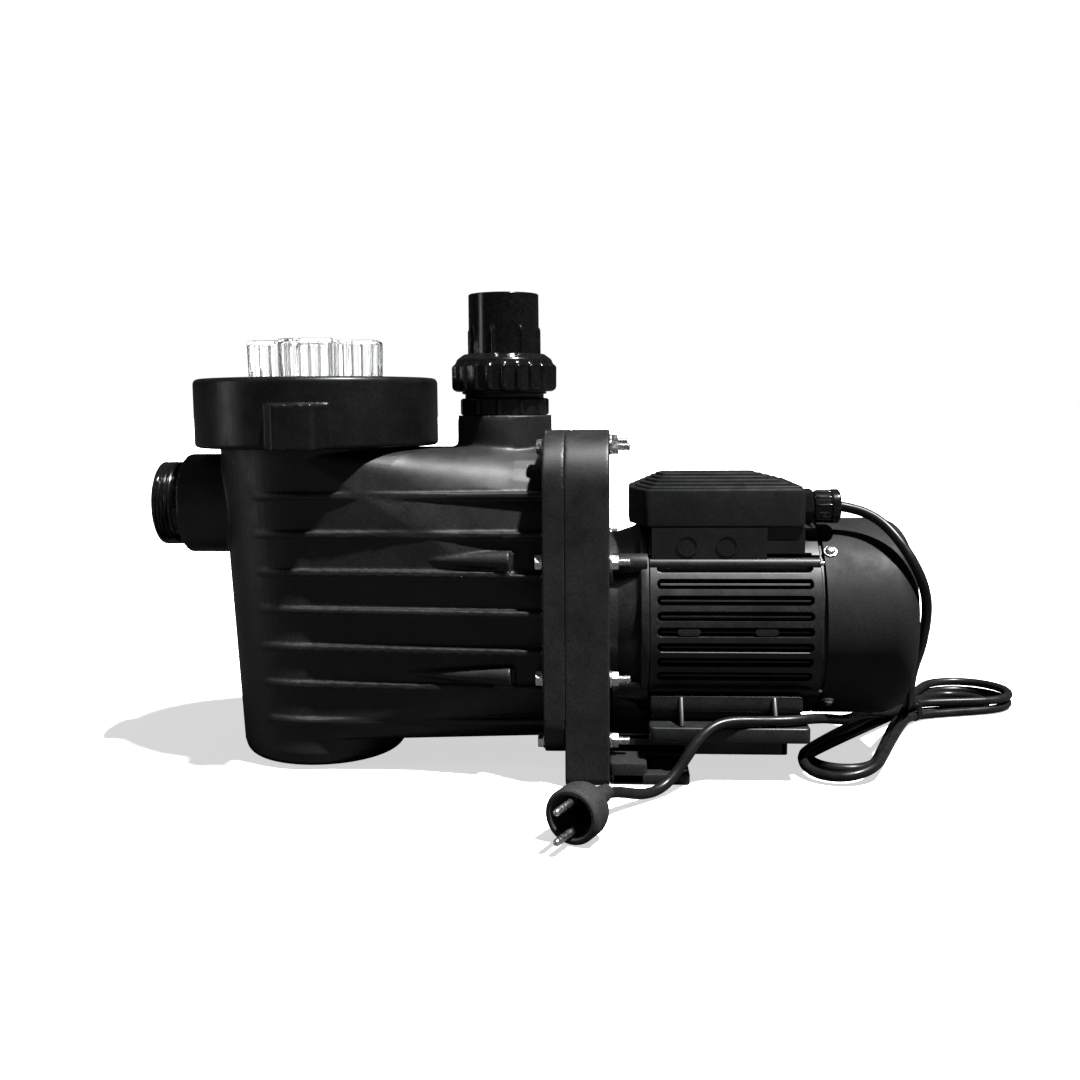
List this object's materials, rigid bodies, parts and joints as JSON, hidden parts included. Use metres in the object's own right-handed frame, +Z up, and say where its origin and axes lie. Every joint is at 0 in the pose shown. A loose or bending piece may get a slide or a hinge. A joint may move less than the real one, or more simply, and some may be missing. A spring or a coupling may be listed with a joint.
{
  "type": "pool pump",
  "caption": "Self-priming pool pump: ribbed strainer pot with clear lobed lid, lock ring, threaded unions, bolted casing and a finned foot-mounted motor with supply cord.",
  "frame": {"origin": "on the floor, under the middle of the pump's box, measured without the supply cord", "axes": "+X along the pump axis from the suction thread to the fan cover, +Z up, -Y towards the viewer"},
  "size_m": [0.72, 0.4202, 0.359],
  "materials": {
    "moulded_black": "fine grained moulding",
    "gloss_black": "polished moulding",
    "motor_black": "satin black paint on cast aluminium",
    "clear_plastic": "clear polycarbonate",
    "basket_plastic": "natural polypropylene",
    "inner_plastic": "glass-filled moulding",
    "rubber": "matt rubber",
    "zinc": "bright zinc plate",
    "steel": "ground steel",
    "copper": "enamelled copper wire",
    "ceramic": "lapped ceramic",
    "light_plastic": "moulded plastic",
    "cord_black": "satin rubber sheath"
  },
  "bodies": {
    "pump": {"strainer_pot": "moulded_black", "pump_casing": "moulded_black", "suction_insert": "gloss_black", "suction_seal": "rubber", "discharge_insert": "gloss_black", "discharge_seal": "rubber", "union_gasket": "rubber", "drain_plug": "gloss_black", "drain_seal": "rubber", "casing_gasket": "rubber", "diffuser": "inner_plastic", "diffuser_seal": "rubber", "seal_seat": "ceramic", "rear_cover": "moulded_black", "casing_bolts": "zinc", "casing_washers": "zinc", "casing_nuts": "zinc", "motor_base": "moulded_black", "front_endshield": "motor_black", "motor_frame": "motor_black", "stator_core": "steel", "stator_windings": "copper", "rear_endshield": "motor_black", "bearing_outer_rings": "steel", "tie_rods": "zinc", "fan_cover": "motor_black", "fan_cover_screws": "zinc", "terminal_box_base": "moulded_black", "terminal_box_gasket": "rubber", "terminal_box_lid": "gloss_black", "terminal_box_screws": "zinc", "terminal_block": "light_plastic", "run_capacitor": "light_plastic", "gland_body": "gloss_black", "gland_seal": "rubber", "gland_nut": "gloss_black", "cord_lead": "cord_black", "cord_hank": "cord_black", "cord_tail": "cord_black", "cord_tie": "gloss_black", "plug_body": "cord_black", "plug_pins": "zinc"},
    "rotor": {"motor_shaft": "steel", "rotor_core": "steel", "impeller": "inner_plastic", "impeller_nut": "steel", "seal_head": "steel", "bearing_inner_rings": "steel", "bearing_balls": "steel", "cooling_fan": "inner_plastic"},
    "lid": {"strainer_lid": "clear_plastic", "lid_seal": "rubber"},
    "ring": {"lock_ring": "moulded_black"},
    "basket": {"strainer_basket": "basket_plastic", "basket_handle": "basket_plastic"},
    "tail": {"union_tail": "gloss_black"},
    "nut": {"union_nut": "gloss_black"}
  },
  "joints": [
    {"name": "rotor_spin", "type": "hinge", "parent": "pump", "child": "rotor", "pos_m": [0.15, 0, 0.11], "axis": [1, 0, 0], "continuous": true},
    {"name": "lid_lift", "type": "slide", "parent": "pump", "child": "lid", "axis": [0, 0, 1], "range_m": [0, 0.52]},
    {"name": "lock_ring_turn", "type": "hinge", "parent": "lid", "child": "ring", "pos_m": [-0.165, 0, 0.26], "axis": [0, 0, 1], "range_deg": [0, 60]},
    {"name": "basket_lift", "type": "slide", "parent": "pump", "child": "basket", "axis": [0, 0, 1], "range_m": [0, 0.26]},
    {"name": "union_lift", "type": "slide", "parent": "pump", "child": "tail", "axis": [0, 0, 1], "range_m": [0, 0.06]},
    {"name": "union_nut_turn", "type": "hinge", "parent": "tail", "child": "nut", "pos_m": [-0.0175, 0, 0.3], "axis": [0, 0, 1], "continuous": true}
  ],
  "couplings": [
    {"joint": "basket_lift", "follows": "lid_lift", "ratio": 0.5}
  ]
}
